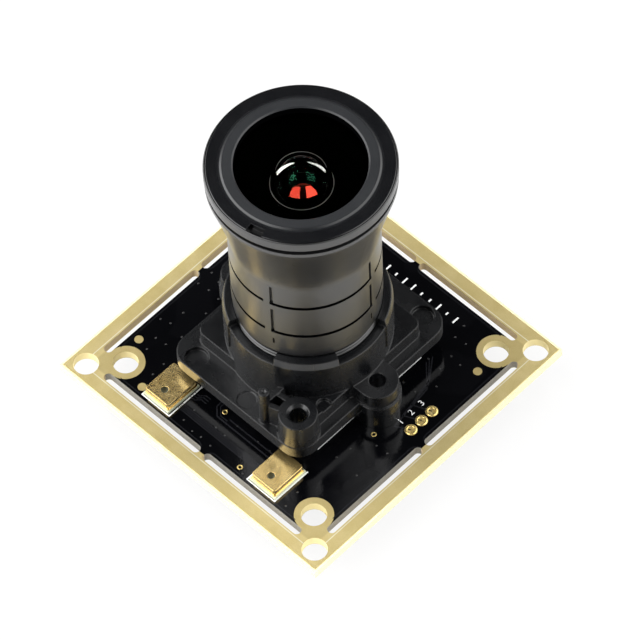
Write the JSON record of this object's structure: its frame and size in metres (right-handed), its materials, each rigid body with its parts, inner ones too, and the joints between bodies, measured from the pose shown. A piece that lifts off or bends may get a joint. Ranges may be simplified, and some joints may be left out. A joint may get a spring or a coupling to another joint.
{
  "type": "camera module",
  "caption": "Square circuit board with a snap-off frame, a moulded lens holder, a fixed lens with a flared head, microphones on its front and a cable connector on its back.",
  "frame": {"origin": "centre of the board's underside, in the plane where the spacers of the mounting screws bear", "axes": "+Z along the lens axis, the way the lens looks; the microphones lie on the -Y side and the cable connector on the +Y side of the board"},
  "size_m": [0.038, 0.038, 0.0406],
  "materials": {
    "board": "black solder mask over glass-fibre laminate",
    "gold": "gold-plated copper, satin",
    "holder": "moulded black plastic, satin",
    "screw": "zinc-plated",
    "barrel": "moulded black plastic, satin",
    "front_ring": "black, matt",
    "lens_inner": "black, matt",
    "lens_glass": "coated optical glass",
    "filter_glass": "infrared filter, pale cyan",
    "sensor_body": "dark ceramic package",
    "sensor_die": "polished silicon",
    "mic_base": "laminate",
    "mic_lid": "gold-plated, satin",
    "chip": "black moulding compound",
    "tin": "tinned, satin",
    "crystal_lid": "nickel-plated",
    "ceramic_base": "brown ceramic",
    "ferrite": "dark ferrite",
    "capacitor": "tan ceramic",
    "resistor": "black coating",
    "plug_plastic": "natural nylon"
  },
  "bodies": {
    "root": {"circuit_board": "board", "front_copper": "gold", "back_copper": "gold", "lens_holder": "holder", "holder_screws": "screw", "lens_barrel": "barrel", "front_ring": "front_ring", "front_element": "lens_glass", "front_spacer": "lens_inner", "second_element": "lens_glass", "middle_spacer": "lens_inner", "third_element": "lens_glass", "aperture_stop": "lens_inner", "fourth_element": "lens_glass", "rear_spacer": "lens_inner", "fifth_element": "lens_glass", "rear_retainer": "lens_inner", "infrared_filter": "filter_glass", "sensor_package": "sensor_body", "sensor_die": "sensor_die", "sensor_glass": "lens_glass", "microphone_bases": "mic_base", "microphone_lids": "mic_lid", "processor": "chip", "memory_chip": "chip", "memory_leads": "tin", "clock_crystal": "crystal_lid", "crystal_base": "ceramic_base", "regulators": "chip", "regulator_leads": "tin", "power_inductor": "ferrite", "inductor_core": "ferrite", "capacitors": "capacitor", "capacitor_caps": "tin", "resistors": "resistor", "resistor_caps": "tin", "plug_housing": "plug_plastic", "plug_pins_row": "tin", "plug_anchors": "tin"}
  },
  "joints": []
}
